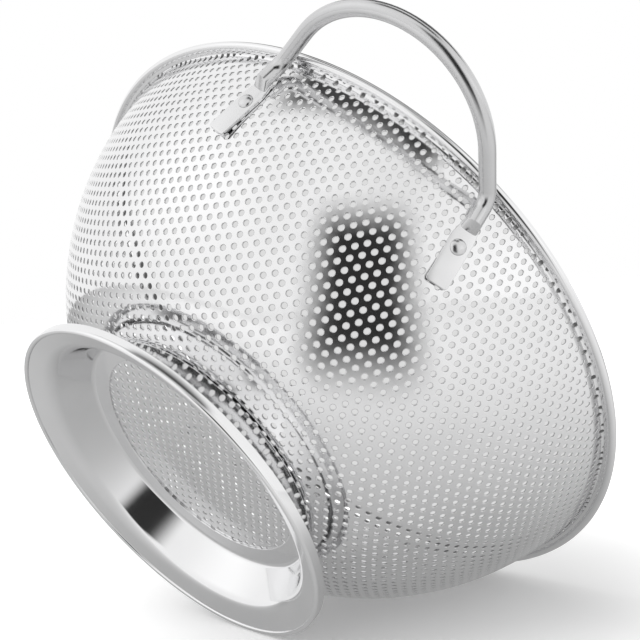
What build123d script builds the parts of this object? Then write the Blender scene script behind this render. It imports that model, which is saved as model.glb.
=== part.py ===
from build123d import *
from math import acos, asin, atan2, ceil, cos, degrees, hypot, radians, sin, sqrt, tan
import os

# A footed colander: a deep perforated bowl on a flared foot ring, with a rolled rim and two riveted bow handles.
# All lengths are in millimetres. The origin is the middle of the circle that the foot stands on, and +Z points up.
# The handles lie on the X axis, one at each side.

# Every form that goes round the axis is drawn in this many equal flats, whose middles have the true profile
TURN_SIDES = 48

# Bowl: pressed from perforated sheet, measured on its outside
SHEET = 0.6
FLOOR_RADIUS = 55.5
HEEL_RADIUS = 54.5
BOWL_RADIUS = 140.2
HEEL_RUNS = 3
SIDE_RUNS = 6

# Perforation: a plain grid of larger openings keeps the fine one's open share, in every other flat of the wall
OPENING_SHARE = 0.7
FLOOR_PITCH = 15.0
FLOOR_OPENING = 8.2
FLOOR_OPENING_SIDES = 6

# Rim: a strip rolled to a bead outside the lip, which is held between its two legs
RIM_HEIGHT = 114.4
LIP_WIDTH = 2.5
LEG_WIDTH = 3.0
BEAD_DIAMETER = 3.6
BEAD_SIDES = 8
BAND_SHEET = 0.5
BAND_GAP = 0.05

# Foot ring: spun from solid sheet, spot welded under the floor by its flange, with a hemmed edge to stand on
FOOT_HEIGHT = 22.1
FOOT_RADIUS = 80.4
FOOT_SHEET = 0.8
FLANGE_WIDTH = 9.5
NECK_RADIUS = 60.5
FLARE_WIDTH = 11.0
FLARE_HEIGHT = 3.8
HEM_DIAMETER = 2.2
HEM_SIDES = 6

# Handles: a round rod bent to a bow, its two ends pressed flat against the bowl
ROD_DIAMETER = 6.3
ROD_SIDES = 8
HANDLE_STAND = 39.2
HANDLE_DROP = 6.1
HANDLE_RISE = 3.0
CROWN_SHARE = 0.913
LEG_BEND = 8.0
TAB_THICKNESS = 1.5
TAB_WIDTH = 9.0
TAB_LENGTH = 26.0
TAB_NECK = 10.0
TAB_SHOULDER = 5.0
TAB_CORNER = 1.5
TAB_TILT = 16.0

# Rivets: one through each tab and the bowl's wall, domed outside and upset flat inside
RIVET_SIDES = 12
RIVET_DROP = 22.9
RIVET_SPACING = 98.4
RIVET_DIAMETER = 3.2
RIVET_HEAD_DIAMETER = 6.2
RIVET_HEAD_HEIGHT = 1.3
RIVET_HEAD_TAPER = 45.0
RIVET_TAIL_DIAMETER = 5.0
RIVET_TAIL_HEIGHT = 0.8

# Running room between pieces that are pressed together
FIT = 0.05

# The angle from one flat to the next
turn_step = 360 / TURN_SIDES

# The bowl's side is a zone of a sphere centred on the axis, and the heel's arc runs into it without a corner
centre_rise = sqrt((BOWL_RADIUS - HEEL_RADIUS) ** 2 - FLOOR_RADIUS**2)
bowl_centre = FOOT_HEIGHT + HEEL_RADIUS + centre_rise
heel_turn = degrees(asin(FLOOR_RADIUS / (BOWL_RADIUS - HEEL_RADIUS)))

# The lip's underside lies half a sheet below the rim's height, which settles how far the side turns up
lip_height = RIM_HEIGHT - SHEET / 2
side_turn = degrees(acos((bowl_centre - lip_height) / BOWL_RADIUS))
lip_start = BOWL_RADIUS * sin(radians(side_turn))
lip_edge = lip_start + LIP_WIDTH

# The rim's bead starts just outside the lip's edge
bead_centre = lip_edge + BAND_GAP + BEAD_DIAMETER / 2 - BAND_SHEET
rim_radius = bead_centre + BEAD_DIAMETER / 2


def gore(face: Sketch) -> Part:
    """One flat of a turned form: its profile, drawn out sideways and mitred at both ends."""
    reach = 2 * rim_radius
    half_width = reach * tan(radians(180 / TURN_SIDES))
    bar = extrude(Plane.XZ * face, half_width, both=True)
    wedge = make_face(Polyline((0, 0), (reach, -half_width), (reach, half_width), close=True))
    return bar & extrude(wedge, 2 * RIM_HEIGHT, both=True)


def around(gores: list[Part]) -> Part:
    """A full turn of flats about the axis, that takes these gores in order, again and again."""
    placed = [Rotation(0, 0, turn_step * place) * gores[place % len(gores)] for place in range(TURN_SIDES)]
    return placed[0].fuse(*placed[1:])


def turned(face: Sketch) -> Part:
    """A full turn of a face of the profile plane about the colander's axis."""
    return around([gore(face)])


def wall_line(depth: float) -> Curve:
    """The bowl's profile from the axis to the lip's edge, this far inside its outer face, in straight runs."""
    floor = Line((0, FOOT_HEIGHT + depth), (FLOOR_RADIUS, FOOT_HEIGHT + depth))
    heel = JernArc(floor @ 1, (1, 0), HEEL_RADIUS - depth, heel_turn)
    side = JernArc(heel @ 1, heel % 1, BOWL_RADIUS - depth, side_turn - heel_turn)
    heel_points = [heel @ (run / HEEL_RUNS) for run in range(HEEL_RUNS)]
    side_points = [side @ (run / SIDE_RUNS) for run in range(SIDE_RUNS)]
    lip = [(lip_start, lip_height + depth), (lip_edge, lip_height + depth)]
    return Polyline(floor @ 0, *heel_points, *side_points, *lip)


def wall_runs() -> list[Edge]:
    """The rising runs of the bowl's outer profile, from the floor to the lip."""
    return wall_line(0).edges().sort_by(Axis.Y)[1:-1]


def wall_face() -> Sketch:
    """The pressed sheet's section: flat floor, heel, spherical side, and a lip flared out into the rim."""
    outside = wall_line(0)
    inside = wall_line(SHEET)
    edges = outside.edges() + inside.edges()
    edges += [Line(outside @ 0, inside @ 0), Line(outside @ 1, inside @ 1)]
    return make_face(edges)


def on_run(run: Edge, share: float) -> Location:
    """A place in the middle of a run's flat, this share of the way up it: X down along it, Z out of the wall."""
    place = run @ share
    slope = run % 0
    return Pos(place.X, 0, place.Y) * Rotation(0, 180 - degrees(atan2(slope.Y, slope.X)), 0)


def wall_opening(run: Edge) -> Part:
    """The punch for the opening in the middle of a run's flat."""
    flat_width = 2 * (run @ 0.5).X * tan(radians(turn_step / 2))
    outline = Rectangle(OPENING_SHARE * run.length, OPENING_SHARE * flat_width)
    return on_run(run, 0.5) * extrude(outline, 2 * SHEET, both=True)


def floor_openings() -> list[Part]:
    """The punches for the floor's openings, in staggered rows within the foot's flange."""
    reach = NECK_RADIUS - FLANGE_WIDTH - FLOOR_OPENING / 2
    rows = 2 * ceil(reach / FLOOR_PITCH) + 1
    grid = HexLocations(FLOOR_PITCH / 2, rows, rows)
    punch = extrude(RegularPolygon(FLOOR_OPENING / 2, FLOOR_OPENING_SIDES), 2 * SHEET, both=True)
    spots = [spot.position for spot in grid.locations if spot.position.length < reach]
    return [Pos(spot.X, spot.Y, FOOT_HEIGHT) * punch for spot in spots]


def rivet_flat() -> tuple[int, int, float]:
    """The run and the flat that carry the near rivet, counted from the floor and from X, and its share of the run."""
    runs = wall_runs()
    height = RIM_HEIGHT - RIVET_DROP
    row = [place for place, run in enumerate(runs) if (run @ 0).Y < height <= (run @ 1).Y][0]
    low, high = runs[row] @ 0, runs[row] @ 1
    share = (height - low.Y) / (high.Y - low.Y)
    radius = (runs[row] @ share).X
    return row, round(degrees(asin(RIVET_SPACING / 2 / radius)) / turn_step), share


def tab_plane() -> Plane:
    """The plane of one tab's inner face: origin at its rivet, X down along the tab and Z out from the wall."""
    row, flat, share = rivet_flat()
    run = wall_runs()[row]
    azimuth = flat * turn_step
    aside = (RIVET_SPACING / 2 - (run @ share).X * sin(radians(azimuth))) / cos(radians(azimuth))
    seat = Rotation(0, 0, azimuth) * Pos(0, aside, 0) * on_run(run, share)
    return Plane(seat * Rotation(0, 0, TAB_TILT)).offset(FIT)


def rivet_step(diameter: float, start: float, end: float, taper: float = 0) -> Part:
    """One step of a rivet or of its drill, between two heights over the tab's inner face."""
    section = Pos(0, 0, start) * RegularPolygon(diameter / 2, RIVET_SIDES)
    return extrude(section, amount=end - start, taper=taper)


def tab_holes() -> list[Part]:
    """A drill for each rivet, long enough for the tab and the wall."""
    depth = TAB_THICKNESS + 2 * SHEET
    return four_of(tab_plane() * rivet_step(RIVET_DIAMETER + 2 * FIT, -depth, depth))


def four_of(piece: Part) -> list[Part]:
    """This piece at the right handle's near tab, and its mirror images at the other three tabs."""
    pair = [piece, mirror(piece, Plane.XZ)]
    return pair + [mirror(each, Plane.YZ) for each in pair]


def bowl() -> Part:
    """The pressed sheet, with openings in staggered rows, and drilled for the rivets, which go through closed flats."""
    row, flat, share = rivet_flat()
    openings = [wall_opening(run) for run in wall_runs()]
    open_start = (row + flat + 1) % 2
    plain = gore(wall_face())
    gores = [plain - openings[(open_start + parity) % 2 :: 2] for parity in (0, 1)]
    return around(gores) - floor_openings() - tab_holes()


def rim_band() -> Part:
    """The rolled strip: a bead outside the lip, and two legs that hold the lip between them."""
    slot = SHEET + 2 * BAND_GAP
    slot_end = lip_edge + BAND_GAP
    leg_start = bead_centre - LEG_WIDTH
    leg_block = Rectangle(LEG_WIDTH, slot + 2 * BAND_SHEET)
    legs = Pos((bead_centre + leg_start) / 2, RIM_HEIGHT) * leg_block
    mouth = Pos((slot_end + leg_start) / 2, RIM_HEIGHT) * Rectangle(slot_end - leg_start, slot)
    bead = RegularPolygon(BEAD_DIAMETER / 2, BEAD_SIDES, major_radius=False, rotation=90 + 180 / BEAD_SIDES)
    return turned(Pos(bead_centre, RIM_HEIGHT) * bead + legs - mouth)


def foot_ring() -> Part:
    """The spun foot: a flat flange under the floor, a cone, a flare and a hemmed edge with a flat underside."""
    hem_centre = FOOT_RADIUS - HEM_DIAMETER / 2
    with BuildLine() as outside:
        Polyline(
            (NECK_RADIUS - FLANGE_WIDTH, FOOT_HEIGHT),
            (NECK_RADIUS, FOOT_HEIGHT),
            (FOOT_RADIUS - FLARE_WIDTH, FLARE_HEIGHT),
            (hem_centre, (HEM_DIAMETER + FOOT_SHEET) / 2),
        )
    sheet = make_face(offset(outside.line, FOOT_SHEET, side=Side.RIGHT, kind=Kind.INTERSECTION).edges())
    hem = RegularPolygon(HEM_DIAMETER / 2, HEM_SIDES, major_radius=False, rotation=90 + 180 / HEM_SIDES)
    return turned(sheet + Pos(hem_centre, HEM_DIAMETER / 2) * hem)


def handle() -> Part:
    """The right handle: a round rod bent to a bow, with both ends pressed to flat tabs and drilled."""
    tab = tab_plane()
    rod_start = tab * Pos(-TAB_NECK, 0, ROD_DIAMETER / 2)
    foot_point = rod_start.position
    upwards = -tab.x_dir
    knee = foot_point + upwards * ((RIM_HEIGHT - HANDLE_DROP - foot_point.Z) / upwards.Z)
    reach = (rim_radius + HANDLE_STAND - ROD_DIAMETER / 2 - knee.X) / cos(radians(HANDLE_RISE))
    crown_radius = CROWN_SHARE * knee.Y
    crown_centre = reach - crown_radius
    splay = atan2(knee.Y, crown_centre) - asin(crown_radius / hypot(crown_centre, knee.Y))
    bow = Plane((knee.X, 0, knee.Z)).rotated((0, -HANDLE_RISE, 0))
    apex = bow.from_local_coords(Vector(knee.Y / tan(splay), 0, 0))
    with BuildLine() as path:
        FilletPolyline(
            foot_point,
            knee,
            apex,
            (knee.X, -knee.Y, knee.Z),
            (foot_point.X, -foot_point.Y, foot_point.Z),
            radius=[LEG_BEND, crown_radius, LEG_BEND],
        )
    round_section = RegularPolygon(ROD_DIAMETER / 2, ROD_SIDES, major_radius=False)
    section = Plane(origin=foot_point, z_dir=upwards, x_dir=tab.z_dir) * round_section
    rod = sweep(section, path.line)
    near_tab = handle_tab()
    bent = rod + near_tab + mirror(near_tab, Plane.XZ)
    return bent - tab_holes()


def handle_tab() -> Part:
    """One pressed end: a flat plate, as wide as the rod at its neck, that widens to the rivet."""
    half_rod = ROD_DIAMETER / 2
    half_width = TAB_WIDTH / 2
    tip = TAB_LENGTH - TAB_NECK
    outline = Polyline(
        (-TAB_NECK - TAB_THICKNESS, half_rod),
        (-TAB_NECK, half_rod),
        (-TAB_SHOULDER, half_width),
        (tip, half_width),
        (tip, -half_width),
        (-TAB_SHOULDER, -half_width),
        (-TAB_NECK, -half_rod),
        (-TAB_NECK - TAB_THICKNESS, -half_rod),
        close=True,
    )
    plate = make_face(outline)
    plate = fillet(plate.vertices().group_by(Axis.X)[-1], TAB_CORNER)
    return extrude(tab_plane() * plate, TAB_THICKNESS)


def rivet() -> Part:
    """A rivet at the right handle's near tab: a domed head, a shank, and a tail upset inside the bowl."""
    head_start = TAB_THICKNESS + FIT
    tail_end = -SHEET - 2 * FIT
    shank = rivet_step(RIVET_DIAMETER, tail_end, head_start)
    head = rivet_step(RIVET_HEAD_DIAMETER, head_start, head_start + RIVET_HEAD_HEIGHT, RIVET_HEAD_TAPER)
    tail = rivet_step(RIVET_TAIL_DIAMETER, tail_end - RIVET_TAIL_HEIGHT, tail_end)
    return tab_plane() * (shank + head + tail)


def write(name: str, piece: Part) -> None:
    """Writes one node's solids to its own file."""
    export_step(piece, os.path.join("parts", name + ".step"))


def main() -> None:
    """Builds every piece and writes one file for each."""
    os.makedirs("parts", exist_ok=True)
    right = handle()
    write("bowl", bowl())
    write("rim_band", rim_band())
    write("foot_ring", foot_ring())
    write("handle_right", right)
    write("handle_left", mirror(right, Plane.YZ))
    places = ("right_back", "right_front", "left_back", "left_front")
    for place, piece in zip(places, four_of(rivet())):
        write("rivet_" + place, piece)


main()
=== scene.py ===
import logging
from dataclasses import dataclass
from enum import Enum
from math import acos, asin, atan2, cos, hypot, pi, radians, sin, sqrt, tan, tau
from typing import Iterable

import bmesh
import bpy
from mathutils import Matrix, Vector

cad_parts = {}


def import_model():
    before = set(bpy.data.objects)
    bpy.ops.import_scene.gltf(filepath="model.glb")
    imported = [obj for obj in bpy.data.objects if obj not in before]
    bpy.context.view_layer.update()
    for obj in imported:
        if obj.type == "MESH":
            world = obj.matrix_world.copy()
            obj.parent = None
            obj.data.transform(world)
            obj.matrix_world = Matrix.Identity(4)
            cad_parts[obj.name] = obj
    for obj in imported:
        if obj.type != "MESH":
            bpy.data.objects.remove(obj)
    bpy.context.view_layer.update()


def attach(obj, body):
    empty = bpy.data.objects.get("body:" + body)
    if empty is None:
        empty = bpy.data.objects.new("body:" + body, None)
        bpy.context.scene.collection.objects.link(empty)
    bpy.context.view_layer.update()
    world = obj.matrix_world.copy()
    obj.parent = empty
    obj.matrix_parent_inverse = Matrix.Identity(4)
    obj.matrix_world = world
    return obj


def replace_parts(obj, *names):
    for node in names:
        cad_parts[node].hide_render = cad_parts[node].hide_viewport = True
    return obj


Shape, Vert, Edge = bmesh.types.BMesh, bmesh.types.BMVert, bmesh.types.BMEdge
Tree, Node, Socket = bpy.types.NodeTree, bpy.types.Node, bpy.types.NodeSocket
Material, Object = bpy.types.Material, bpy.types.Object

MM = 0.001
BODY = "root"
DOUBLE = 0.001 * MM  # vertices nearer than this are one
MEETING = 0.9999  # the share of half a side that a full round takes, so that its sides keep some length
log = logging.getLogger("colander")


class Slot(Enum):
    """The record's material slots."""

    BOWL = "bowl_sheet"
    RIM = "rim_strip"
    FOOT = "foot_sheet"
    HANDLE = "handle_rod"
    RIVET = "rivet_steel"


class Side(Enum):
    """The two handles, by the way they point along X."""

    RIGHT = 1
    LEFT = -1


# Shader groups


def node(tree: Tree, kind: str, inputs: dict | None = None, **settings: object) -> Node:
    """Adds a node, sets its properties and fills its inputs.

    Args:
        tree: the node tree that takes the node.
        kind: the node's type name, without "ShaderNode".
        inputs: a socket or a plain value for each input, by its name or number.
        settings: the node's own properties.

    Returns:
        The new node.
    """
    made = tree.nodes.new("ShaderNode" + kind)
    for name, value in settings.items():
        setattr(made, name, value)
    for name, value in (inputs or {}).items():
        if isinstance(value, Socket):
            tree.links.new(value, made.inputs[name])
        else:
            made.inputs[name].default_value = value
    return made


def maths(tree: Tree, operation: str, *values: object) -> Socket:
    """The result of a Math node on sockets or numbers."""
    return node(tree, "Math", dict(enumerate(values)), operation=operation).outputs[0]


def vector_maths(tree: Tree, operation: str, *values: object) -> Node:
    """A Vector Math node on sockets or vectors."""
    return node(tree, "VectorMath", dict(enumerate(values)), operation=operation)


def ramp(
    tree: Tree, value: object, start: tuple[float, float], end: tuple[float, float], kind: str = "SMOOTHSTEP"
) -> Socket:
    """Carries a value from one level to another.

    Args:
        tree: the node tree that takes the node.
        value: the socket that is read.
        start: where the change starts, and the level there.
        end: where it ends, and the level there.
        kind: the Map Range node's interpolation.

    Returns:
        A socket with the level.
    """
    inputs = {"Value": value, "From Min": start[0], "To Min": start[1], "From Max": end[0], "To Max": end[1]}
    return node(tree, "MapRange", inputs, interpolation_type=kind).outputs[0]


def mixed(tree: Tree, share: object, first: object, second: object) -> Socket:
    """A number that goes from the first to the second with the share."""
    inputs = {"Factor": share, "A": first, "B": second}
    return node(tree, "Mix", inputs, data_type="FLOAT").outputs["Result"]


def new_group(name: str, inputs: dict[str, object], outputs: Iterable[str]) -> Tree:
    """Starts a shader node group.

    Args:
        name: the group's name.
        inputs: the input names, with a number or three numbers as their default values.
        outputs: the names of its outputs, which are numbers.

    Returns:
        The empty group, with its input and output nodes named "in" and "out".
    """
    tree = bpy.data.node_groups.new(name, "ShaderNodeTree")
    for label, value in inputs.items():
        kind = "NodeSocketVector" if isinstance(value, tuple) else "NodeSocketFloat"
        tree.interface.new_socket(label, in_out="INPUT", socket_type=kind).default_value = value
    for label in outputs:
        tree.interface.new_socket(label, in_out="OUTPUT", socket_type="NodeSocketFloat")
    tree.nodes.new("NodeGroupInput").name = "in"
    tree.nodes.new("NodeGroupOutput").name = "out"
    return tree


def polish_group() -> Tree:
    """Builds the wear of a polished sheet: soft clouds and fine scratches.

    Returns:
        A group whose Mask roughens the metal and whose Height bends its reflections.
    """
    inputs = {"Cloud Size": 60.0, "Scratch Size": 900.0, "Scratch Share": 0.5}
    tree = new_group("polish_marks", inputs, ("Mask", "Height"))
    given, target = tree.nodes["in"].outputs, tree.nodes["out"]
    place = node(tree, "TexCoord").outputs["Object"]
    clouds = node(tree, "TexNoise", {"Vector": place, "Scale": given["Cloud Size"], "Detail": 3.0})
    drawn_out = node(tree, "Mapping", {"Vector": place, "Scale": (1.0, 0.06, 1.0), "Rotation": (0.4, 0.9, 0.7)})
    scratches = node(tree, "TexNoise", {
        "Vector": drawn_out.outputs["Vector"], "Scale": given["Scratch Size"], "Detail": 2.0,
    })
    scratch = maths(tree, "MULTIPLY", scratches.outputs["Fac"], given["Scratch Share"])
    tree.links.new(maths(tree, "ADD", clouds.outputs["Fac"], scratch), target.inputs["Mask"])
    tree.links.new(clouds.outputs["Fac"], target.inputs["Height"])
    return tree


def turning_group() -> Tree:
    """Builds the rings that spinning leaves on turned sheet, by distance from the axis and height.

    Returns:
        A group whose Lines run round the colander's axis.
    """
    tree = new_group("turning_lines", {"Line Size": 1500.0}, ("Lines",))
    place = node(tree, "TexCoord").outputs["Object"]
    parts = node(tree, "SeparateXYZ", {0: place}).outputs
    squares = [maths(tree, "MULTIPLY", parts[name], parts[name]) for name in ("X", "Y")]
    radius = maths(tree, "SQRT", maths(tree, "ADD", *squares))
    joined = node(tree, "CombineXYZ", {"X": radius, "Y": parts["Z"]})
    lines = node(tree, "TexNoise", {
        "Vector": joined.outputs[0], "Scale": tree.nodes["in"].outputs["Line Size"], "Detail": 2.0,
    })
    tree.links.new(lines.outputs["Fac"], tree.nodes["out"].inputs["Lines"])
    return tree


@dataclass(frozen=True)
class SteelFinish:
    """One finish of stainless steel.

    Attributes:
        name: the material's name.
        colour: the metal's colour.
        smooth: the roughness of its cleanest spots.
        rough: the roughness of its most worn spots.
        cloud_size: the scale of the soft clouds, in turns a metre.
        scratch_share: how much the fine scratches count against the clouds.
        ring_share: how much the turning lines roughen it.
        wave_depth: the depth of the slow waviness, in metres.
        cloud_span: the values between which the clouds lie.
        shade: how bright the metal's darkest spots are against its own colour.
    """

    name: str
    colour: tuple[float, float, float]
    smooth: float
    rough: float
    cloud_size: float
    scratch_share: float
    ring_share: float
    wave_depth: float
    cloud_span: tuple[float, float] = (0.35, 0.65)
    shade: float = 0.93

    def material(self, groups: dict[str, Tree]) -> Material:
        """Builds the material.

        Args:
            groups: the shared shader groups, by name.

        Returns:
            The finished material.
        """
        material = bpy.data.materials.new(self.name)
        material.use_nodes = True
        tree = material.node_tree
        marks = {"Cloud Size": self.cloud_size, "Scratch Share": self.scratch_share}
        polish = node(tree, "Group", marks, node_tree=groups["polish"])
        turning = node(tree, "Group", node_tree=groups["turning"])
        rings = maths(tree, "MULTIPLY", turning.outputs["Lines"], self.ring_share)
        wear = maths(tree, "ADD", polish.outputs["Mask"], rings)
        most = self.cloud_span[1] + (self.scratch_share + self.ring_share) / 2
        rough = ramp(tree, wear, (self.cloud_span[0], self.smooth), (most, self.rough), "LINEAR")
        tint = node(tree, "Mix", {
            "Factor": polish.outputs["Height"], "A": (*self.colour, 1.0),
            "B": (*(self.shade * part for part in self.colour), 1.0),
        }, data_type="RGBA")
        height = maths(tree, "ADD", polish.outputs["Height"], rings)
        bump = node(tree, "Bump", {"Strength": 1.0, "Distance": self.wave_depth, "Height": height})
        shader = tree.nodes["Principled BSDF"]
        shader.inputs["Metallic"].default_value = 1.0
        tree.links.new(rough, shader.inputs["Roughness"])
        tree.links.new(tint.outputs["Result"], shader.inputs["Base Color"])
        tree.links.new(bump.outputs["Normal"], shader.inputs["Normal"])
        return material


POLISHED_SHEET = SteelFinish("polished_sheet", (0.90, 0.90, 0.905), 0.04, 0.12, 45.0, 0.3, 0.0, 0.00001)
PUNCHED_EDGE = SteelFinish("punched_edge", (0.55, 0.55, 0.555), 0.30, 0.55, 300.0, 0.8, 0.0, 0.00002)
POLISHED_FOOT = SteelFinish("polished_foot", (0.90, 0.90, 0.905), 0.03, 0.10, 50.0, 0.3, 0.5, 0.000006)
POLISHED_RIM = SteelFinish("polished_rim", (0.90, 0.90, 0.905), 0.02, 0.07, 50.0, 0.3, 0.3, 0.000004)
SATIN_ROD = SteelFinish("satin_rod", (0.66, 0.66, 0.665), 0.10, 0.20, 80.0, 0.6, 0.0, 0.000004)
POLISHED_TAB = SteelFinish("polished_tab", (0.80, 0.80, 0.805), 0.06, 0.14, 90.0, 0.5, 0.0, 0.000006)
POLISHED_RIVET = SteelFinish("polished_rivet", (0.72, 0.72, 0.725), 0.12, 0.24, 120.0, 0.4, 0.0, 0.000005)


# Shapes


@dataclass(frozen=True)
class Wall:
    """The bowl's wall: a flat blank pressed to a floor, a heel, a spherical side, a flare and a level lip.

    A blank radius is the distance from the blank's middle, which pressing keeps along the wall.
    """

    floor_height: float = 22.1 * MM
    floor_radius: float = 55.5 * MM
    heel_radius: float = 54.5 * MM
    bowl_radius: float = 140.2 * MM
    flare_radius: float = 2.0 * MM
    lip_height: float = 114.1 * MM
    lip_edge: float = 139.9 * MM
    sheet: float = 0.6 * MM

    @property
    def heel_turn(self) -> float:
        """The angle that the heel turns up through."""
        return asin(self.floor_radius / (self.bowl_radius - self.heel_radius))

    @property
    def centre_height(self) -> float:
        """The height of the sphere's centre."""
        inner = self.bowl_radius - self.heel_radius
        return self.floor_height + self.heel_radius + inner * cos(self.heel_turn)

    @property
    def side_turn(self) -> float:
        """The turn at the side's top, where the flare starts."""
        rise = self.centre_height + self.flare_radius - self.lip_height
        return acos(rise / (self.bowl_radius + self.flare_radius))

    @property
    def lip_start(self) -> float:
        """The radius where the lip starts to run level."""
        return (self.bowl_radius + self.flare_radius) * sin(self.side_turn)

    @property
    def stretches(self) -> tuple[float, float, float, float]:
        """Measures the wall's stretches along the blank.

        Returns:
            The blank radii where the floor, the heel, the side and the flare end.
        """
        floor = self.floor_radius
        heel = floor + self.heel_radius * self.heel_turn
        side = heel + self.bowl_radius * (self.side_turn - self.heel_turn)
        return floor, heel, side, side + self.flare_radius * self.side_turn

    @property
    def blank_radius(self) -> float:
        """The blank's own radius."""
        return self.stretches[3] + self.lip_edge - self.lip_start

    def outside(self, run: float) -> tuple[float, float, float]:
        """Finds where pressing carries a point of the blank.

        Args:
            run: the point's blank radius.

        Returns:
            The radius, the height and the turn of the wall's outer face there.
        """
        floor, heel, side, flare = self.stretches
        if run <= floor:
            return run, self.floor_height, 0.0
        if run <= heel:
            turn = (run - floor) / self.heel_radius
            rise = self.heel_radius * (1 - cos(turn))
            return self.floor_radius + self.heel_radius * sin(turn), self.floor_height + rise, turn
        if run <= side:
            turn = self.heel_turn + (run - heel) / self.bowl_radius
            return self.bowl_radius * sin(turn), self.centre_height - self.bowl_radius * cos(turn), turn
        if run <= flare:
            turn = self.side_turn - (run - side) / self.flare_radius
            drop = self.flare_radius * (1 - cos(turn))
            return self.lip_start - self.flare_radius * sin(turn), self.lip_height - drop, turn
        return self.lip_start + run - flare, self.lip_height, 0.0

    def pressed(self, spot: Vector) -> Vector:
        """Carries a point of the flat blank to its place.

        Args:
            spot: the point, with its depth inside the outer face as Z.

        Returns:
            The point on the pressed wall.
        """
        run = hypot(spot.x, spot.y)
        radius, height, turn = self.outside(run)
        reach = radius - spot.z * sin(turn)
        share = reach / run if run else 0.0
        return Vector((spot.x * share, spot.y * share, height + spot.z * cos(turn)))

    def outward(self, spot: Vector) -> Vector:
        """Finds which way the wall's outer face looks.

        Args:
            spot: a point of the flat blank.

        Returns:
            The outer face's normal over it.
        """
        run = hypot(spot.x, spot.y)
        turn = self.outside(run)[2]
        share = sin(turn) / run if run else 0.0
        return Vector((spot.x * share, spot.y * share, -cos(turn)))


WALL = Wall()


def meshed(name: str, shape: Shape, *materials: Material) -> Object:
    """Makes a mesh an object of the scene.

    Args:
        name: the object's name.
        shape: its mesh, which this frees.
        materials: its finishes, by its faces' numbers.

    Returns:
        The object.
    """
    mesh = bpy.data.meshes.new(name)
    shape.to_mesh(mesh)
    shape.free()
    for material in materials:
        mesh.materials.append(material)
    made = bpy.data.objects.new(name, mesh)
    bpy.context.scene.collection.objects.link(made)
    return made


def finished(name: str, shape: Shape, slot: Slot, *materials: Material) -> Object:
    """Makes a mesh a piece of the part.

    Args:
        name: the piece's name.
        shape: its mesh, which this frees.
        slot: its slot in the record; not used.
        materials: its finishes, by its faces' numbers.

    Returns:
        The object, riding on the part's body.
    """
    piece = meshed(name, shape, *materials)
    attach(piece, BODY)
    log.info("%s: %d faces", name, len(piece.data.polygons))
    return piece


def whole(shape: Shape) -> list:
    """All vertices, edges and faces of a mesh."""
    return shape.verts[:] + shape.edges[:] + shape.faces[:]


def only(geom: Iterable, kind: type) -> list:
    """The parts of one kind among what an operator gives back."""
    return [part for part in geom if isinstance(part, kind)]


def edges_at(verts: Iterable[Vert]) -> list:
    """The edges that meet some vertices, each once and always in the same order."""
    return list(dict.fromkeys(edge for vert in verts for edge in vert.link_edges))


def rounded(shape: Shape, geom: list, reach: float, segments: int, affect: str = "VERTICES") -> None:
    """Rounds corners of a face, or edges of a body.

    Args:
        shape: the mesh.
        geom: the corners or edges.
        reach: how far each is cut back along its sides.
        segments: the steps in each round.
        affect: whether they are "VERTICES" or "EDGES".
    """
    bmesh.ops.bevel(
        shape, geom=geom, offset=reach, offset_type="OFFSET", segments=segments, profile=0.5,
        affect=affect, clamp_overlap=affect == "EDGES", material=-1,
    )


def smooth_shape(shape: Shape, crease: float = radians(35)) -> None:
    """Merges doubles, turns the faces outwards and shades them smoothly up to an angle.

    Args:
        shape: the mesh.
        crease: the least angle between two faces that stays sharp.
    """
    bmesh.ops.remove_doubles(shape, verts=shape.verts[:], dist=DOUBLE)
    bmesh.ops.recalc_face_normals(shape, faces=shape.faces[:])
    for face in shape.faces:
        face.smooth = True
    for edge in shape.edges:
        edge.smooth = len(edge.link_faces) != 2 or edge.calc_face_angle(0.0) < crease


def turned(
    shape: Shape,
    corners: list[tuple[float, float]],
    rounds: dict[int, float],
    steps: int,
    segments: int = 6,
) -> None:
    """Turns a closed outline about the axis.

    Args:
        shape: the mesh that takes the turned form.
        corners: the outline's corners, as radius and height.
        rounds: how far each rounded corner is cut back along its sides, by its place in the outline.
        steps: the steps in the full turn.
        segments: the steps in each rounded corner.
    """
    before = set(shape.verts)
    ring = [shape.verts.new((radius, 0.0, height)) for radius, height in corners]
    shape.faces.new(ring)
    for place, reach in rounds.items():
        rounded(shape, [ring[place]], reach, segments)
    outline = [face for face in shape.faces if not set(face.verts) & before][0]
    geom = list(outline.verts) + list(outline.edges)
    bmesh.ops.delete(shape, geom=[outline], context="FACES_ONLY")
    bmesh.ops.spin(
        shape, geom=geom, cent=(0, 0, 0), axis=(0, 0, 1), dvec=(0, 0, 0),
        angle=tau, steps=steps, use_merge=True, use_duplicate=False,
    )


def beaded(shape: Shape, centre: float, height: float, radius: float, steps: int) -> None:
    """Turns a round bead about the axis, from a square whose rounded corners meet.

    Args:
        shape: the mesh that takes the bead.
        centre: the distance of the bead's middle from the axis.
        height: the height of its middle.
        radius: the bead's own radius.
        steps: the steps in the full turn.
    """
    low, high, near, far = height - radius, height + radius, centre - radius, centre + radius
    square = [(near, low), (far, low), (far, high), (near, high)]
    turned(shape, square, dict.fromkeys(range(4), radius * MEETING), steps)


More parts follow.
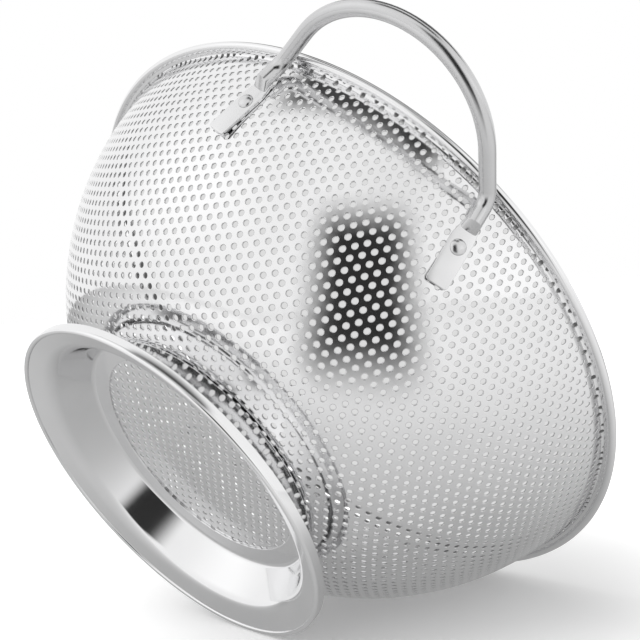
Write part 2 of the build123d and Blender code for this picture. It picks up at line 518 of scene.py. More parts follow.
@dataclass
class PerforatedBowl:
    """The pressed bowl, with the punched blank's triangular rows of holes.

    Attributes:
        pitch: the distance between neighbouring holes.
        hole: the holes' diameter.
        burnish: how wide and how deep the holes' outer edges are rounded.
        row_azimuth: the azimuth that one set of rows lies square to.
        corners: the corners of each hole, which are also its cell's.
        sectors: the number of pieces that the wall is shared among, one for each way of the rows.
        edge_lean: how far a rounded edge still looks outwards where it meets its hole.
        level: the least rise of the normals of faces that lie in the sheet and aren't rounded.
        steep: the greatest rise of the normals of the holes' own walls.
        double: the distance within which vertices are one, as a share of the pitch.
    """

    material: Material
    edge_material: Material
    pitch: float = 4.77 * MM
    hole: float = 2.35 * MM
    burnish: tuple[float, float] = (0.31 * MM, 0.2 * MM)
    row_azimuth: float = radians(19.25)
    corners: int = 12
    sectors: int = 6
    edge_lean: float = 0.5
    level: float = 0.99
    steep: float = 0.5
    double: float = 0.002
    wall: Wall = WALL

    def cell(self) -> Shape:
        """Makes one six-sided cell of the blank round its hole.

        Returns:
            The cell in the blank's plane, with its hole's edge pushed in.
        """
        shape = bmesh.new()
        wide, deep = self.burnish
        hole = bmesh.ops.create_circle(shape, segments=self.corners, radius=self.hole / 2)["verts"]
        ring = bmesh.ops.create_circle(shape, segments=self.corners, radius=self.hole / 2 + wide)["verts"]
        bmesh.ops.bridge_loops(shape, edges=shape.edges[:])
        burnished = set(shape.edges)
        edge = bmesh.ops.create_circle(shape, segments=self.corners, radius=self.pitch / sqrt(3))["verts"]
        bmesh.ops.scale(shape, vec=(cos(pi / 6), cos(pi / 6), 1.0), verts=edge[1::2])
        inner = [other for other in burnished if all(vert in ring for vert in other.verts)]
        outer = [other for other in shape.edges if other not in burnished]
        bmesh.ops.bridge_loops(shape, edges=inner + outer)
        bmesh.ops.translate(shape, vec=(0, 0, deep), verts=hole)
        return shape

    def spread(self, shape: Shape, step: Vector, keep: float) -> None:
        """Repeats the cells along one direction by doubling them, as far as the blank goes.

        Args:
            shape: the cells.
            step: the way from a cell to the next.
            keep: the greatest distance of a cell's corner from the blank's middle.
        """
        reach = step.length
        while reach < self.wall.blank_radius:
            copied = bmesh.ops.duplicate(shape, geom=whole(shape))["geom"]
            bmesh.ops.translate(shape, vec=step.normalized() * reach, verts=only(copied, Vert))
            reach *= 2
        far = [face for face in shape.faces if face.calc_center_median().length > keep]
        bmesh.ops.delete(shape, geom=far, context="FACES")

    def blank(self, sector: int) -> Shape:
        """The flat plate of one sector, with its outer face at Z zero.

        Args:
            sector: the sector's number.

        Returns:
            The plate, with its holes, as a closed shell.
        """
        shape = self.cell()
        along = Vector((self.pitch, 0.0, 0.0))
        aslant = Vector((self.pitch / 2, self.pitch * sqrt(3) / 2, 0.0))
        keep = self.wall.blank_radius + self.pitch / 2
        bmesh.ops.translate(shape, vec=along, verts=shape.verts[:])
        self.spread(shape, along, keep)
        self.spread(shape, aslant, keep)
        if sector == 0:
            centre = self.cell()
            mesh = bpy.data.meshes.new("centre_cell")
            centre.to_mesh(mesh)
            centre.free()
            shape.from_mesh(mesh)
            bpy.data.meshes.remove(mesh)
        turn = self.row_azimuth - pi / 2 + sector * tau / self.sectors
        bmesh.ops.rotate(shape, cent=(0, 0, 0), matrix=Matrix.Rotation(turn, 3, "Z"), verts=shape.verts[:])
        for vert in shape.verts:
            if vert.co.length > self.wall.blank_radius:
                vert.co *= self.wall.blank_radius / vert.co.length
        near = self.pitch * self.double
        bmesh.ops.remove_doubles(shape, verts=shape.verts[:], dist=near)
        bmesh.ops.dissolve_degenerate(shape, dist=near, edges=shape.edges[:])
        for face in shape.faces:
            face.normal_update()
            if face.normal.z > 0:
                face.normal_flip()
        inside = bmesh.ops.extrude_face_region(shape, geom=shape.faces[:], use_keep_orig=True)["geom"]
        for vert in only(inside, Vert):
            vert.co.z = self.wall.sheet
        bmesh.ops.recalc_face_normals(shape, faces=shape.faces[:])
        return shape

    def piece(self, sector: int) -> Object:
        """Presses one sector of the blank and gives its faces the wall's true normals.

        Args:
            sector: the sector's number.

        Returns:
            The sector's object.
        """
        shape = self.blank(sector)
        shape.verts.index_update()
        outward = [self.wall.outward(vert.co) for vert in shape.verts]
        depth = [vert.co.z for vert in shape.verts]
        facing = [face.normal.z for face in shape.faces]
        for vert in shape.verts:
            vert.co = self.wall.pressed(vert.co)
        normals = []
        for face, up in zip(shape.faces, facing):
            face.normal_update()
            face.smooth = True
            face.material_index = int(abs(up) < self.steep)
            for loop in face.loops:
                smooth = outward[loop.vert.index] * (-1.0 if up > 0 else 1.0)
                if abs(up) < self.steep:
                    smooth = face.normal
                elif -self.level < up < 0 and depth[loop.vert.index] > 0:
                    across = face.normal - smooth * face.normal.dot(smooth)
                    smooth = (across.normalized() + smooth * self.edge_lean).normalized()
                normals.append(tuple(smooth))
        piece = finished(f"bowl_sheet_{sector + 1}", shape, Slot.BOWL, self.material, self.edge_material)
        piece.data.normals_split_custom_set(normals)
        return piece

    def build(self) -> None:
        """Builds every sector, in place of the plain bowl."""
        pieces = [self.piece(sector) for sector in range(self.sectors)]
        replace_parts(pieces[0], "bowl")


@dataclass
class RimBand:
    """The rolled strip: a round bead, and two legs that hold the lip.

    Attributes:
        height: the height of the bead's middle and of the gap between the legs.
        leg_start: the radius where the legs start.
        leg_edge: how far the legs' outer corners are rounded.
        leg_segments: the steps in those corners.
        strip: the strip's thickness.
    """

    material: Material
    height: float = 114.4 * MM
    bead_centre: float = 141.26 * MM
    bead_radius: float = 1.8 * MM
    leg_start: float = 138.3 * MM
    leg_edge: float = 0.25 * MM
    leg_segments: int = 3
    strip: float = 0.5 * MM
    steps: int = 240

    def build(self) -> None:
        """Builds the band."""
        shape = bmesh.new()
        beaded(shape, self.bead_centre, self.height, self.bead_radius, self.steps)
        half = WALL.sheet / 2 + self.strip
        low, high = self.height - half, self.height + half
        legs = [(self.leg_start, low), (self.bead_centre, low), (self.bead_centre, high), (self.leg_start, high)]
        turned(shape, legs, {0: self.leg_edge, 3: self.leg_edge}, self.steps, self.leg_segments)
        smooth_shape(shape)
        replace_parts(finished("rim_roll", shape, Slot.RIM, self.material), "rim_band")


@dataclass
class FootRing:
    """The spun foot: a flange under the floor, a cone, a flare, a rolled hem and the band turned up from it.

    Attributes:
        height: the flange's upper face, which is the floor's lower one.
        band_inset: how far the band's face lies inside the hem's.
        sheet: the sheet's thickness.
        neck_rounds: how far the corner between flange and cone is rounded, outside and inside.
        bend_rounds: the same for the corner between cone and flare.
        flange_round: the same for the flange's edge.
        band_round: the same for the band's upper edge.
        band_segments: the steps in that edge.
    """

    material: Material
    height: float = 22.1 * MM
    flange_radius: float = 51.0 * MM
    neck_radius: float = 60.5 * MM
    flare_start: float = 69.4 * MM
    flare_height: float = 3.8 * MM
    hem_centre: float = 79.3 * MM
    hem_radius: float = 1.1 * MM
    band_height: float = 4.8 * MM
    band_inset: float = 0.05 * MM
    sheet: float = 0.8 * MM
    neck_rounds: tuple[float, float] = (2.0 * MM, 1.5 * MM)
    bend_rounds: tuple[float, float] = (3.4 * MM, 3.8 * MM)
    flange_round: float = 0.2 * MM
    band_round: float = 0.36 * MM
    band_segments: int = 4
    steps: int = 240

    def build(self) -> None:
        """Builds the ring."""
        shape = bmesh.new()
        slope = atan2(self.height - self.flare_height, self.flare_start - self.neck_radius)
        flare_rise = self.flare_height - self.hem_radius - self.sheet / 2
        flare_slope = atan2(flare_rise, self.hem_centre - self.flare_start)
        neck_in = self.sheet * tan(slope / 2)
        bend_in = self.sheet * sin(slope - flare_slope) / (1 + cos(slope - flare_slope))
        sheet = [
            (self.flange_radius, self.height),
            (self.neck_radius, self.height),
            (self.flare_start, self.flare_height),
            (self.hem_centre, self.hem_radius + self.sheet / 2),
            (self.hem_centre, self.hem_radius - self.sheet / 2),
            (
                self.flare_start - self.sheet * sin(slope) - bend_in * cos(slope),
                self.flare_height - self.sheet * cos(slope) + bend_in * sin(slope),
            ),
            (self.neck_radius - neck_in, self.height - self.sheet),
            (self.flange_radius, self.height - self.sheet),
        ]
        (neck, neck_inside), (bend, bend_inside) = self.neck_rounds, self.bend_rounds
        rounds = {1: neck, 2: bend, 5: bend_inside, 6: neck_inside, 0: self.flange_round, 7: self.flange_round}
        turned(shape, sheet, rounds, self.steps)
        beaded(shape, self.hem_centre, self.hem_radius, self.hem_radius, self.steps)
        face = self.hem_centre + self.hem_radius - self.band_inset
        back = face - self.sheet
        low, high = self.hem_radius, self.band_height
        band = [(back, low), (face, low), (face, high), (back, high)]
        turned(shape, band, {2: self.band_round, 3: self.band_round}, self.steps, self.band_segments)
        smooth_shape(shape)
        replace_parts(finished("foot_spun_ring", shape, Slot.FOOT, self.material), "foot_ring")


@dataclass(frozen=True)
class TabSeat:
    """Where a tab and its rivet sit on the bowl's wall, for the end at positive X and Y.

    Attributes:
        height: the rivet's height on the wall.
        spacing: the distance between the two rivets of a handle.
        tilt: the tab's turn on the wall.
        gap: the play between the wall and what seats on it.
    """

    height: float = 91.5 * MM
    spacing: float = 98.4 * MM
    tilt: float = radians(16.0)
    gap: float = 0.05 * MM

    def matrix(self) -> Matrix:
        """Finds the tab's own frame.

        Returns:
            The frame, with its origin at the rivet on the wall, X down along the tab and Z out from the wall.
        """
        turn = acos((WALL.centre_height - self.height) / WALL.bowl_radius)
        radius = WALL.bowl_radius * sin(turn)
        azimuth = asin(self.spacing / 2 / radius)
        place = Matrix.Rotation(azimuth, 4, "Z") @ Matrix.Translation((radius, 0, self.height))
        lean = Matrix.Rotation(pi - turn, 4, "Y") @ Matrix.Rotation(self.tilt, 4, "Z")
        return place @ lean @ Matrix.Translation((0, 0, self.gap))


@dataclass
class BowHandle:
    """A round rod bent to a bow, with both ends pressed to flat tabs.

    Attributes:
        drop: how far the knees lie below the rim.
        stand: how far the bow stands out past the rim.
        rise: the bow's slope.
        crown_share: the crown's radius, as a share of half the knees' distance.
        knee_bend: the knees' radius.
        knee_steps: the steps in a knee.
        bow_steps: the steps in half the crown.
        tab_tip: the distance from the rivet to the tab's tip.
        neck: the distance from the rivet to the rod's round end.
        shoulder: the distance from the rivet to where the tab has its full width.
        press: the length over which the rod goes flat.
        press_inset: how deep in the tab the pressed end lies, as a share of its thickness.
        press_spread: how much wider pressing makes the rod.
        corner_rounds: how far the tab's tip and shoulders are rounded.
        corner_segments: the steps in those corners.
        edge_round: how far its edges are rounded.
        edge_segments: the steps in those edges.
        sharp: the least angle of an edge that is rounded.
    """

    side: Side
    material: Material
    tab_material: Material
    rod_radius: float = 3.15 * MM
    rod_sides: int = 32
    drop: float = 6.1 * MM
    stand: float = 39.2 * MM
    rise: float = radians(3.0)
    crown_share: float = 0.913
    knee_bend: float = 8.0 * MM
    tab_sheet: float = 1.5 * MM
    tab_width: float = 9.0 * MM
    tab_tip: float = 16.0 * MM
    neck: float = 10.0 * MM
    shoulder: float = 5.0 * MM
    press: float = 3.5 * MM
    press_inset: float = 0.2
    press_spread: float = 1.1
    knee_steps: int = 8
    bow_steps: int = 20
    corner_rounds: tuple[float, float] = (1.5 * MM, 2.0 * MM)
    corner_segments: int = 5
    edge_round: float = 0.25 * MM
    edge_segments: int = 3
    sharp: float = radians(60)
    seat: TabSeat = TabSeat()

    def sweep(self, shape: Shape, ring: list, centre: Vector, axis: Vector, angle: float, steps: int) -> list:
        """Carries the rod's open end round a bend.

        Args:
            shape: the rod.
            ring: the edges of its open end.
            centre: the bend's centre.
            axis: the bend's axis.
            angle: the bend's angle.
            steps: the steps in it.

        Returns:
            The edges of the new open end.
        """
        last = bmesh.ops.spin(
            shape, geom=ring, cent=centre, axis=axis, dvec=(0, 0, 0), angle=angle, steps=steps,
            use_merge=False, use_duplicate=False,
        )["geom_last"]
        return only(last, Edge)

    def extend(self, shape: Shape, ring: list, way: Vector) -> list:
        """Carries the rod's open end straight on.

        Args:
            shape: the rod.
            ring: the edges of its open end.
            way: the way to go.

        Returns:
            The edges of the new open end.
        """
        new = bmesh.ops.extrude_edge_only(shape, edges=ring)["geom"]
        bmesh.ops.translate(shape, vec=way, verts=only(new, Vert))
        return [edge for edge in only(new, Edge) if len(edge.link_faces) == 1]

    def rod(self, shape: Shape) -> None:
        """Builds one half of the rod, from its pressed end to the bow's middle.

        Args:
            shape: the mesh that takes it.
        """
        seat = self.seat.matrix()
        down, out = seat.to_3x3().col[0].normalized(), seat.to_3x3().col[2].normalized()
        up = -down
        start = seat @ Vector((-self.neck, 0.0, self.rod_radius))
        knee_height = RimBand.height - self.drop
        knee = start + up * ((knee_height - start.z) / up.z)
        rim_radius = RimBand.bead_centre + RimBand.bead_radius
        reach = (rim_radius + self.stand - self.rod_radius - knee.x) / cos(self.rise)
        crown = self.crown_share * knee.y
        middle = reach - crown
        splay = atan2(knee.y, middle) - asin(crown / hypot(middle, knee.y))
        forward = Vector((cos(self.rise), 0.0, sin(self.rise)))
        sideways = Vector((0.0, 1.0, 0.0))
        leg = forward * cos(splay) - sideways * sin(splay)
        bend_axis = up.cross(leg).normalized()
        bend = up.angle(leg)
        cut = self.knee_bend * tan(bend / 2)
        bow_axis = leg.cross(-sideways).normalized()
        leg_length = sqrt(middle**2 + knee.y**2 - crown**2)

        frame = Matrix.Translation(start) @ Matrix((out, up.cross(out), up)).transposed().to_4x4()
        made = bmesh.ops.create_circle(shape, segments=self.rod_sides, radius=self.rod_radius, matrix=frame)
        ring = edges_at(made["verts"])
        pressed = self.extend(shape, ring, down * self.press)
        self.flatten(shape, pressed, seat)
        tip = self.extend(shape, pressed, down * self.press / 2)
        bmesh.ops.holes_fill(shape, edges=tip)

        ring = self.extend(shape, ring, up * ((knee - start).length - cut))
        hub = knee - up * cut + bend_axis.cross(up) * self.knee_bend
        ring = self.sweep(shape, ring, hub, bend_axis, bend, self.knee_steps)
        ring = self.extend(shape, ring, leg * (leg_length - cut))
        hub = Vector((knee.x, 0.0, knee.z)) + forward * middle
        self.sweep(shape, ring, hub, bow_axis, pi / 2 - splay, self.bow_steps)

    def flatten(self, shape: Shape, ring: list, seat: Matrix) -> None:
        """Presses the rod's end down onto its tab.

        Args:
            shape: the rod.
            ring: the edges of its pressed end.
            seat: the tab's own frame.
        """
        verts = list({vert for edge in ring for vert in edge.verts})
        bmesh.ops.transform(shape, matrix=seat.inverted(), verts=verts)
        low = self.tab_sheet * self.press_inset
        thin = (self.tab_sheet - 2 * low) / (2 * self.rod_radius)
        bmesh.ops.scale(shape, vec=(1.0, self.press_spread, thin), verts=verts)
        bmesh.ops.translate(shape, vec=(0.0, 0.0, low), verts=verts)
        bmesh.ops.transform(shape, matrix=seat, verts=verts)

    def tab(self, shape: Shape) -> None:
        """Builds one pressed tab.

        Args:
            shape: the mesh that takes it.
        """
        before = set(shape.verts)
        half, rod = self.tab_width / 2, self.rod_radius
        start = -self.neck - self.tab_sheet
        corners = [
            (start, rod), (-self.neck, rod), (-self.shoulder, half), (self.tab_tip, half),
            (self.tab_tip, -half), (-self.shoulder, -half), (-self.neck, -rod), (start, -rod),
        ]
        ring = [shape.verts.new((x, y, 0.0)) for x, y in corners]
        shape.faces.new(ring)
        for places, reach in zip(((3, 4), (2, 5)), self.corner_rounds):
            for place in places:
                rounded(shape, [ring[place]], reach, self.corner_segments)
        plate = [face for face in shape.faces if not set(face.verts) & before]
        raised = bmesh.ops.extrude_face_region(shape, geom=plate, use_keep_orig=True)["geom"]
        bmesh.ops.translate(shape, vec=(0.0, 0.0, self.tab_sheet), verts=only(raised, Vert))
        made = [vert for vert in shape.verts if vert not in before]
        edges = [edge for edge in edges_at(made) if edge.calc_face_angle(0.0) > self.sharp]
        rims = [edge for edge in edges if abs(edge.verts[0].co.z - edge.verts[1].co.z) < DOUBLE]
        rounded(shape, rims, self.edge_round, self.edge_segments, "EDGES")
        made = [vert for vert in shape.verts if vert not in before]
        for face in {face for vert in made for face in vert.link_faces}:
            face.material_index = 1
        bmesh.ops.transform(shape, matrix=self.seat.matrix(), verts=made)

    def build(self) -> None:
        """Builds the whole handle, in place of its plain one."""
        shape = bmesh.new()
        self.rod(shape)
        self.tab(shape)
        bmesh.ops.mirror(shape, geom=whole(shape), axis="Y", merge_dist=DOUBLE)
        if self.side is Side.LEFT:
            bmesh.ops.scale(shape, vec=(-1.0, 1.0, 1.0), verts=shape.verts[:])
        smooth_shape(shape)
        name = "handle_" + self.side.name.lower()
        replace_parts(finished(name + "_bow", shape, Slot.HANDLE, self.material, self.tab_material), name)


@dataclass
class Rivet:
    """A rivet: a domed head on the tab, and a tail upset inside the bowl.

    Attributes:
        front: whether it is the one at negative Y.
    """

    side: Side
    front: bool
    material: Material
    head_radius: float = 3.1 * MM
    head_height: float = 1.3 * MM
    shank_radius: float = 1.6 * MM
    tail_radius: float = 2.5 * MM
    tail_height: float = 0.8 * MM
    tail_round: float = 0.3 * MM
    sides: int = 32
    seat: TabSeat = TabSeat()

    def build(self) -> None:
        """Builds the rivet, in place of its plain one."""
        shape = bmesh.new()
        head = BowHandle.tab_sheet + self.seat.gap
        tail = -WALL.sheet - 2 * self.seat.gap
        across, up = self.sides, self.sides // 2
        bmesh.ops.create_uvsphere(shape, u_segments=across, v_segments=up, radius=self.head_radius)
        bmesh.ops.bisect_plane(
            shape, geom=whole(shape), plane_co=(0, 0, 0), plane_no=(0, 0, 1), clear_inner=True,
        )
        bmesh.ops.holes_fill(shape, edges=[edge for edge in shape.edges if edge.is_boundary])
        bmesh.ops.scale(shape, vec=(1.0, 1.0, self.head_height / self.head_radius), verts=shape.verts[:])
        bmesh.ops.translate(shape, vec=(0, 0, head), verts=shape.verts[:])
        outline = [
            (0.0, tail - self.tail_height), (self.tail_radius, tail - self.tail_height),
            (self.tail_radius, tail), (self.shank_radius, tail), (self.shank_radius, head), (0.0, head),
        ]
        turned(shape, outline, {1: self.tail_round}, self.sides)
        bmesh.ops.transform(shape, matrix=self.seat.matrix(), verts=shape.verts[:])
        mirrored = (self.side.value, -1 if self.front else 1, 1)
        bmesh.ops.scale(shape, vec=mirrored, verts=shape.verts[:])
        smooth_shape(shape)
        name = f"rivet_{self.side.name.lower()}_{'front' if self.front else 'back'}"
        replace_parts(finished(name + "_dome", shape, Slot.RIVET, self.material), name)


# Stage


@dataclass(frozen=True)
class RoomPatch:
    """A soft-edged patch of the light tent round the colander.

    Attributes:
        across: its middle, half width and softness in azimuth, in degrees from the camera to the right.
        along: the same in elevation.
        light: how much light it adds to the room's own, below zero for a dark patch.
        overhead: whether the angles are tilts from the zenith to the right and towards the camera instead.
        turn: how far an overhead patch is turned from the right towards the camera, in degrees.
    """

    across: tuple[float, float, float]
    along: tuple[float, float, float]
    light: float
    overhead: bool = False
    turn: float = 0.0


# the dark patch before the colander, the ones behind and above it, and three faint ones
ROOM_PATCHES = (
    RoomPatch((-4.0, 17.0, 8.0), (10.0, 25.0, 9.0), -0.95),
    RoomPatch((150.0, 52.0, 12.0), (54.0, 17.0, 5.0), -0.86),
    RoomPatch((8.5, 26.5, 5.0), (9.0, 10.0, 5.0), -0.92, overhead=True, turn=36.0),
    RoomPatch((-85.0, 25.0, 25.0), (33.0, 16.0, 16.0), 0.18),
    RoomPatch((48.0, 14.0, 14.0), (12.0, 10.0, 10.0), 0.14),
    RoomPatch((10.0, 20.0, 18.0), (47.0, 12.0, 12.0), -0.10),
)


@dataclass
class Studio:
    """The pale table that the colander lies on, its lamp, its room and its camera, in the part's own frame.

    Attributes:
        contact_azimuth: the azimuth at which the foot, the wall and the handle behind it touch the table.
        lowest_azimuth: the azimuth that the photograph shows lowest.
        eye: the camera's place.
        look: the azimuth and elevation that the camera looks along.
        roll: the camera's turn about its own line of sight.
        lens: the camera's focal length, in millimetres on its sensor.
        sensor: the sensor's width, in millimetres.
        sight: how far the camera sees.
        table_size: the table's width.
        table_gap: how far the table lies below the wall.
        table_colour: the table's grey to the camera.
        table_matt: how much of the mirrored table's light comes from the lamp and takes its shadow; the rest is
            painted light that the table gives off.
        painted_glow_near: a distance from the sphere's centre, and the table's own painted glow to the camera
            there, kept low so that the table looks shaded near the colander.
        painted_glow_far: the same at the far end, where the painted glow makes the table white.
        table_painted_shade_near: an elevation, and the table's share of the room's light towards it there; this
            painted shade darkens the mirrored table near the colander.
        table_painted_shade_far: the same by the horizon.
        table_painted_shade_front: an azimuth from the camera, and the table's share of the room's light towards
            it, a painted shade on the mirrored table.
        table_painted_shade_back: the same towards the back, where the painted shade is darker.
        card_height: the height of the glowing card over the mouth.
        card_radius: the card's radius.
        card_sides: the card's corners.
        card_glow_middle: a distance from the axis, and the card's painted glow there.
        card_shade_border: the same at the card's dark border, a painted shade behind the holes by the rim.
        room_light: the tent's own light.
        black: the least light that comes from anywhere.
        lamp_place: the lamp's place to the right, upwards and towards the camera.
        lamp_aim: the height on the axis that the lamp points at.
        lamp_power: the lamp's power in watts.
        lamp_size: the lamp's width.
    """

    contact_azimuth: float = radians(-44.9)
    lowest_azimuth: float = radians(-36.8)
    eye: tuple[float, float, float] = (-0.41382, -0.13337, -0.16947)
    look: tuple[float, float] = (radians(18.774), radians(33.029))
    roll: float = radians(-46.97)
    lens: float = 62.89
    sensor: float = 36.0
    sight: float = 50.0
    table_size: float = 8.0
    table_gap: float = 0.2 * MM
    table_colour: float = 0.95
    table_matt: float = 0.45
    painted_glow_near: tuple[float, float] = (0.15, 0.08)
    painted_glow_far: tuple[float, float] = (0.24, 0.44)
    table_painted_shade_near: tuple[float, float] = (radians(-55.0), 0.50)
    table_painted_shade_far: tuple[float, float] = (radians(-4.0), 1.0)
    table_painted_shade_front: tuple[float, float] = (radians(60.0), 1.0)
    table_painted_shade_back: tuple[float, float] = (radians(140.0), 0.55)
    card_height: float = 117.0 * MM
    card_radius: float = 138.5 * MM
    card_sides: int = 96
    card_glow_middle: tuple[float, float] = (130.5 * MM, 0.72)
    card_shade_border: tuple[float, float] = (134.5 * MM, 0.10)
    room_light: float = 0.98
    black: float = 0.03
    lamp_place: tuple[float, float, float] = (-1.1, 1.0, 0.3)
    lamp_aim: float = 60.0 * MM
    lamp_power: float = 9.0
    lamp_size: float = 1.2
    tent: Tree | None = None

    @staticmethod
    def down(azimuth: float) -> Vector:
        """The way that things fall when the hem and the wall lie on a table.

        Args:
            azimuth: the azimuth at which they touch it.

        Returns:
            The unit vector.
        """
        rise = WALL.centre_height - FootRing.hem_radius
        reach = hypot(FootRing.hem_centre, rise)
        lean = atan2(rise, FootRing.hem_centre) - acos((WALL.bowl_radius - FootRing.hem_radius) / reach)
        contact = Vector((cos(azimuth), sin(azimuth), 0.0))
        return contact * cos(lean) - Vector((0.0, 0.0, sin(lean)))

    def camera_axes(self) -> tuple[Vector, Vector, Vector]:
        """Finds the ways that the camera's axes point.

        Returns:
            Its right, up and forward ways.
        """
        azimuth, elevation = self.look
        forward = Vector((cos(azimuth) * cos(elevation), sin(azimuth) * cos(elevation), sin(elevation)))
        level = forward.cross(Vector((0, 0, 1))).normalized()
        upright = level.cross(forward)
        up = upright * cos(self.roll) + level * sin(self.roll)
        return forward.cross(up), up, forward

    def room_axes(self) -> tuple[Vector, Vector, Vector]:
        """Finds the ways of the room that the photograph was taken in.

        Returns:
            Right, upright and backward, with backward level and towards the camera.
        """
        upright = -self.down(self.lowest_azimuth)
        forward = self.camera_axes()[2]
        back = (upright * forward.dot(upright) - forward).normalized()
        return upright.cross(back), upright, back

    def camera(self) -> None:
        """Sets the camera where the photograph was taken from."""
        right, up, forward = self.camera_axes()
        data = bpy.data.cameras.new("camera")
        data.lens, data.sensor_width, data.clip_end = self.lens, self.sensor, self.sight
        camera = bpy.data.objects.new("camera", data)
        camera.matrix_world = Matrix.Translation(self.eye) @ Matrix((right, up, -forward)).transposed().to_4x4()
        bpy.context.scene.collection.objects.link(camera)
        bpy.context.scene.camera = camera

    def lamp(self) -> None:
        """Hangs the soft lamp, which no metal mirrors."""
        place = sum((way * reach for way, reach in zip(self.room_axes(), self.lamp_place)), Vector())
        data = bpy.data.lights.new("key_lamp", "AREA")
        data.energy, data.size = self.lamp_power, self.lamp_size
        lamp = bpy.data.objects.new("key_lamp", data)
        aim = Vector((0.0, 0.0, self.lamp_aim)) - place
        lamp.matrix_world = Matrix.Translation(place) @ aim.to_track_quat("-Z", "Y").to_matrix().to_4x4()
        lamp.visible_glossy = False
        bpy.context.scene.collection.objects.link(lamp)

    @staticmethod
    def share(tree: Tree, way: Vector) -> Socket:
        """How far the room group's input points along one way."""
        return vector_maths(tree, "DOT_PRODUCT", tree.nodes["in"].outputs["Way"], way).outputs["Value"]

    @staticmethod
    def window(tree: Tree, value: object, patch: tuple[float, float, float]) -> Socket:
        """A soft-edged band of an angle.

        Args:
            tree: the room's nodes.
            value: the socket with the angle.
            patch: the band's middle, half width and softness, in degrees.

        Returns:
            A socket that is 1 inside the band and 0 outside.
        """
        middle, half, soft = (radians(part) for part in patch)
        away = maths(tree, "ABSOLUTE", maths(tree, "WRAP", maths(tree, "SUBTRACT", value, middle), pi, -pi))
        return ramp(tree, away, (half - soft, 1.0), (half + soft, 0.0))

    def room(self) -> Tree:
        """The light that comes from each way to the bowl.

        Returns:
            A group from a unit vector to the room's light and to the share of it that the table takes, which
            paints shade on the mirrored table: darker near the colander and towards the back.
        """
        tree = new_group("room_light", {"Way": (0.0, 0.0, 1.0)}, ("Light", "Table"))
        right, upright, back = self.room_axes()
        azimuth = maths(tree, "ARCTAN2", self.share(tree, right), self.share(tree, back))
        elevation = maths(tree, "ARCSINE", self.share(tree, upright))
        light = self.room_light
        for patch in ROOM_PATCHES:
            across, along, added = azimuth, elevation, patch.light
            if patch.overhead:
                aside, ahead = cos(radians(patch.turn)), sin(radians(patch.turn))
                across = maths(tree, "ARCSINE", self.share(tree, right * aside + back * ahead))
                along = maths(tree, "ARCSINE", self.share(tree, back * aside - right * ahead))
                added = maths(tree, "MULTIPLY", maths(tree, "GREATER_THAN", elevation, 0.0), patch.light)
            for value, span in ((across, patch.across), (along, patch.along)):
                added = maths(tree, "MULTIPLY", added, self.window(tree, value, span))
            light = maths(tree, "ADD", light, added)
        # painted shade on the mirrored table: darker at steep elevations near the colander and towards the back,
        # and the room's dark patches fall on it as painted shadow
        slope = ramp(tree, elevation, self.table_painted_shade_near, self.table_painted_shade_far)
        turn = ramp(tree, maths(tree, "ABSOLUTE", azimuth), self.table_painted_shade_front, self.table_painted_shade_back)
        table = maths(tree, "MULTIPLY", turn, maths(tree, "MULTIPLY", slope, light))
        for name, level in (("Light", light), ("Table", table)):
            tree.links.new(maths(tree, "MAXIMUM", level, self.black), tree.nodes["out"].inputs[name])
        return tree

    @staticmethod
    def seen(tree: Tree, mirrored: object, shown: object) -> Socket:
        """What the camera is shown, and what every other ray takes instead.

        Args:
            tree: the node tree that takes the nodes.
            mirrored: the number for all other rays.
            shown: the number for the camera's own rays.

        Returns:
            A socket with the number for the ray at hand.
        """
        rays = node(tree, "LightPath").outputs
        direct = maths(tree, "MAXIMUM", rays["Is Camera Ray"], rays["Is Transmission Ray"])
        return mixed(tree, direct, mirrored, shown)

    def sky(self) -> None:
        """Makes the room: white to the camera, and to reflections a light tent with a few patches."""
        world = bpy.data.worlds.new("room")
        bpy.context.scene.world = world
        world.use_nodes = True
        tree = world.node_tree
        room = node(tree, "Group", {"Way": node(tree, "TexCoord").outputs["Generated"]}, node_tree=self.tent)
        back = tree.nodes["Background"]
        back.inputs["Color"].default_value = (1.0, 1.0, 1.0, 1.0)
        tree.links.new(self.seen(tree, room.outputs["Light"], 1.0), back.inputs["Strength"])

    @staticmethod
    def one_sided(name: str) -> tuple[Material, Node]:
        """Starts a stage material that is clear from behind.

        Args:
            name: the material's name.

        Returns:
            The material, and its Mix Shader node, whose input 1 takes the front's shader.
        """
        material = bpy.data.materials.new(name)
        material.use_nodes = True
        tree = material.node_tree
        tree.nodes.remove(tree.nodes["Principled BSDF"])
        behind = node(tree, "NewGeometry").outputs["Backfacing"]
        sides = node(tree, "MixShader", {0: behind, 2: node(tree, "BsdfTransparent").outputs[0]})
        tree.links.new(sides.outputs[0], tree.nodes["Material Output"].inputs["Surface"])
        return material, sides

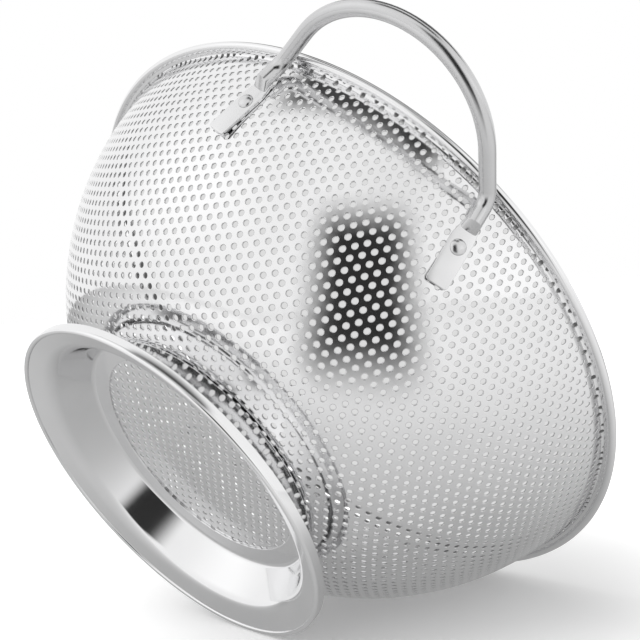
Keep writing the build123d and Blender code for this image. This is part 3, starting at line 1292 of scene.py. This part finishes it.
    def table(self) -> None:
        """Lays the table, which keeps the lamp's shadow, against the foot's hem and the bowl's wall; its painted
        glow to the camera is weaker near the colander, a painted shadow, and to reflections it gives off painted
        light.
        """
        material, sides = self.one_sided("table_white")
        tree = material.node_tree
        place, centre = node(tree, "TexCoord").outputs["Object"], Vector((0.0, 0.0, WALL.centre_height))
        way = vector_maths(tree, "SUBTRACT", place, centre).outputs[0]
        distance = vector_maths(tree, "LENGTH", way).outputs["Value"]
        unit = vector_maths(tree, "NORMALIZE", way).outputs[0]
        mirrored = node(tree, "Group", {"Way": unit}, node_tree=self.tent).outputs["Table"]
        matt = maths(tree, "MULTIPLY", mirrored, self.table_matt)
        # painted light: the mirrored table gives off this share itself
        painted_shine = maths(tree, "MULTIPLY", mirrored, 1.0 - self.table_matt)
        # painted glow to the camera, weaker near the colander, which paints a shadow there
        own = ramp(tree, distance, self.painted_glow_near, self.painted_glow_far)
        both = node(tree, "AddShader", {
            0: node(tree, "BsdfDiffuse", {"Color": self.seen(tree, matt, self.table_colour)}).outputs[0],
            1: node(tree, "Emission", {"Strength": self.seen(tree, painted_shine, own)}).outputs[0],
        })
        tree.links.new(both.outputs[0], sides.inputs[1])
        down = self.down(self.contact_azimuth)
        touch = centre + down * (WALL.bowl_radius + self.table_gap)
        turn = (-down).to_track_quat("Z", "Y").to_matrix().to_4x4()
        shape = bmesh.new()
        bmesh.ops.create_grid(shape, x_segments=1, y_segments=1, size=self.table_size / 2)
        bmesh.ops.transform(shape, matrix=Matrix.Translation(touch) @ turn, verts=shape.verts[:])
        card = meshed("table", shape, material)

    def painted_mouth_glow(self) -> None:
        """Lays a glowing card over the mouth, which shows only from inside: painted light behind the holes, with
        a painted dark border that shades the holes by the rim.
        """
        material, sides = self.one_sided("mouth_glow_card")
        tree = material.node_tree
        place = node(tree, "TexCoord").outputs["Object"]
        level = vector_maths(tree, "MULTIPLY", place, (1.0, 1.0, 0.0)).outputs[0]
        radius = vector_maths(tree, "LENGTH", level).outputs["Value"]
        # painted light behind the holes, falling to painted shade at the border
        glow = node(tree, "Emission", {"Strength": ramp(tree, radius, self.card_glow_middle, self.card_shade_border)})
        tree.links.new(glow.outputs[0], sides.inputs[1])
        shape = bmesh.new()
        bmesh.ops.create_circle(shape, cap_ends=True, segments=self.card_sides, radius=self.card_radius)
        bmesh.ops.translate(shape, vec=(0, 0, self.card_height), verts=shape.verts[:])
        bmesh.ops.reverse_faces(shape, faces=shape.faces[:])
        card = meshed("mouth_glow_card", shape, material)

    def build(self) -> None:
        """Builds the stage."""
        self.tent = self.room()
        self.painted_mouth_glow()
        self.camera()
        self.sky()
        self.table()
        self.lamp()
        bpy.context.scene.view_settings.view_transform = "Standard"


def main() -> None:
    """Builds the colander's pieces and the stage."""
    logging.basicConfig(level=logging.INFO, format="%(message)s")
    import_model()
    groups = {"polish": polish_group(), "turning": turning_group()}
    steel = {finish: finish.material(groups) for finish in (
        POLISHED_SHEET, PUNCHED_EDGE, POLISHED_FOOT, POLISHED_RIM, SATIN_ROD, POLISHED_TAB, POLISHED_RIVET,
    )}
    PerforatedBowl(steel[POLISHED_SHEET], steel[PUNCHED_EDGE]).build()
    RimBand(steel[POLISHED_RIM]).build()
    FootRing(steel[POLISHED_FOOT]).build()
    for side in Side:
        BowHandle(side, steel[SATIN_ROD], steel[POLISHED_TAB]).build()
        for front in (False, True):
            Rivet(side, front, steel[POLISHED_RIVET]).build()
    Studio().build()


if __name__ == "__main__":
    main()
